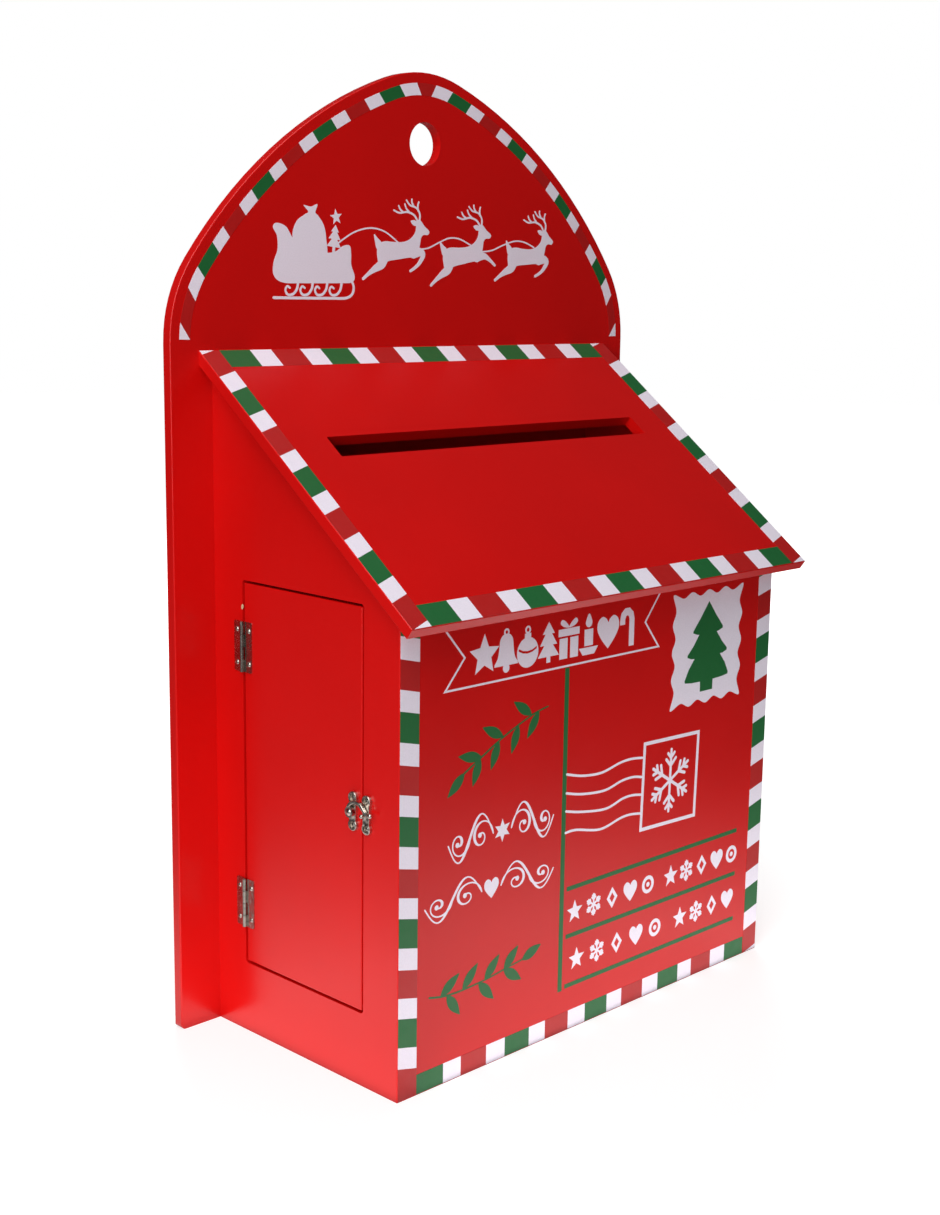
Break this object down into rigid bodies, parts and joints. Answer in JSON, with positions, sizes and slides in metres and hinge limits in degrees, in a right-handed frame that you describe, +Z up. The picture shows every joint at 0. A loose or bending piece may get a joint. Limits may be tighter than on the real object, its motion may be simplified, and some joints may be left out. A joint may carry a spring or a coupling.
{
  "type": "wall letter box",
  "caption": "Painted board letter box with an arched back board and hanging hole, a sloped roof with a posting slot, and a hinged side door held by a swinging horn latch.",
  "frame": {"origin": "bottom centre of the bounding box, on the surface that the box stands on, midway between the roof's front edge and the back board's rear face", "axes": "+Z up, +Y to the back board and the wall, +X to the right as seen from the front; the door is in the -X side"},
  "size_m": [0.5, 0.236, 0.7309],
  "materials": {
    "red_paint": "satin red lacquer sprayed on fibre board",
    "nickel_hardware": "polished nickel plate on stamped steel",
    "white_print": "flat white screen print on lacquer",
    "green_print": "flat green screen print on lacquer",
    "crimson_print": "flat dark red screen print on lacquer"
  },
  "bodies": {
    "case": {"back_panel": "red_paint", "left_side_panel": "red_paint", "right_side_panel": "red_paint", "front_panel": "red_paint", "bottom_panel": "red_paint", "lid_panel": "red_paint", "door_stop": "red_paint", "upper_hinge_frame_leaf": "nickel_hardware", "upper_hinge_pin": "nickel_hardware", "lower_hinge_frame_leaf": "nickel_hardware", "lower_hinge_pin": "nickel_hardware", "hinge_frame_screws": "nickel_hardware", "latch_catch_plate": "nickel_hardware", "latch_catch_peg": "nickel_hardware", "latch_frame_screws": "nickel_hardware"},
    "door": {"door_panel": "red_paint", "upper_hinge_door_leaf": "nickel_hardware", "lower_hinge_door_leaf": "nickel_hardware", "hinge_door_screws": "nickel_hardware", "latch_pivot_plate": "nickel_hardware", "latch_rivet": "nickel_hardware", "latch_door_screws": "nickel_hardware"},
    "latch_arm": {"latch_arm": "nickel_hardware"}
  },
  "joints": [
    {"name": "door_hinge", "type": "hinge", "parent": "case", "child": "door", "pos_m": [-0.21475, 0.075, 0.203], "axis": [0, 0, -1], "range_deg": [0, 125]},
    {"name": "latch_swing", "type": "hinge", "parent": "door", "child": "latch_arm", "pos_m": [-0.21735, -0.0486, 0.2035], "axis": [-1, 0, 0], "range_deg": [0, 110]}
  ]
}
